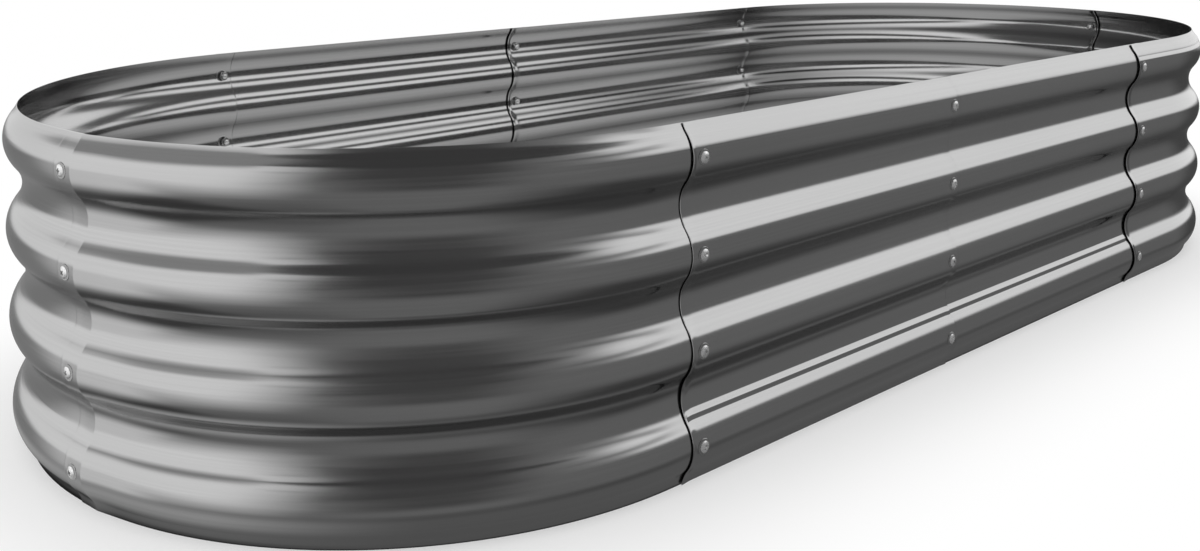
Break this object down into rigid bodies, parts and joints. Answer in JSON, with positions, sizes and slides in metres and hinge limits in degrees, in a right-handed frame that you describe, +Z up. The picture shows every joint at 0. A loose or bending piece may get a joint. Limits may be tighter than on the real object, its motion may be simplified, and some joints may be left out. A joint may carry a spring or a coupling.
{
  "type": "raised garden bed",
  "caption": "Oval raised garden bed of corrugated steel sheets, lapped and bolted on every wave crest, open at the top and bottom.",
  "frame": {"origin": "on the ground, at the middle of the bed", "axes": "+X along the bed's length, towards the right end; +Y towards the back; +Z up"},
  "size_m": [1.6207, 0.7285, 0.29],
  "materials": {
    "sheet_steel": "galvanised sheet with a fine lengthways grain, satin",
    "bolt_steel": "bright zinc plate",
    "washer_steel": "dull zinc plate",
    "nut_steel": "zinc plate"
  },
  "bodies": {
    "root": {"left_end_back_panel": "sheet_steel", "left_end_front_panel": "sheet_steel", "front_left_panel": "sheet_steel", "front_right_panel": "sheet_steel", "right_end_front_panel": "sheet_steel", "right_end_back_panel": "sheet_steel", "back_right_panel": "sheet_steel", "back_left_panel": "sheet_steel", "left_end_bolts": "bolt_steel", "front_left_bolts": "bolt_steel", "front_middle_bolts": "bolt_steel", "front_right_bolts": "bolt_steel", "right_end_bolts": "bolt_steel", "back_right_bolts": "bolt_steel", "back_middle_bolts": "bolt_steel", "back_left_bolts": "bolt_steel", "left_end_outer_washers": "washer_steel", "front_left_outer_washers": "washer_steel", "front_middle_outer_washers": "washer_steel", "front_right_outer_washers": "washer_steel", "right_end_outer_washers": "washer_steel", "back_right_outer_washers": "washer_steel", "back_middle_outer_washers": "washer_steel", "back_left_outer_washers": "washer_steel", "left_end_inner_washers": "washer_steel", "front_left_inner_washers": "washer_steel", "front_middle_inner_washers": "washer_steel", "front_right_inner_washers": "washer_steel", "right_end_inner_washers": "washer_steel", "back_right_inner_washers": "washer_steel", "back_middle_inner_washers": "washer_steel", "back_left_inner_washers": "washer_steel", "left_end_nuts": "nut_steel", "front_left_nuts": "nut_steel", "front_middle_nuts": "nut_steel", "front_right_nuts": "nut_steel", "right_end_nuts": "nut_steel", "back_right_nuts": "nut_steel", "back_middle_nuts": "nut_steel", "back_left_nuts": "nut_steel"}
  },
  "joints": []
}
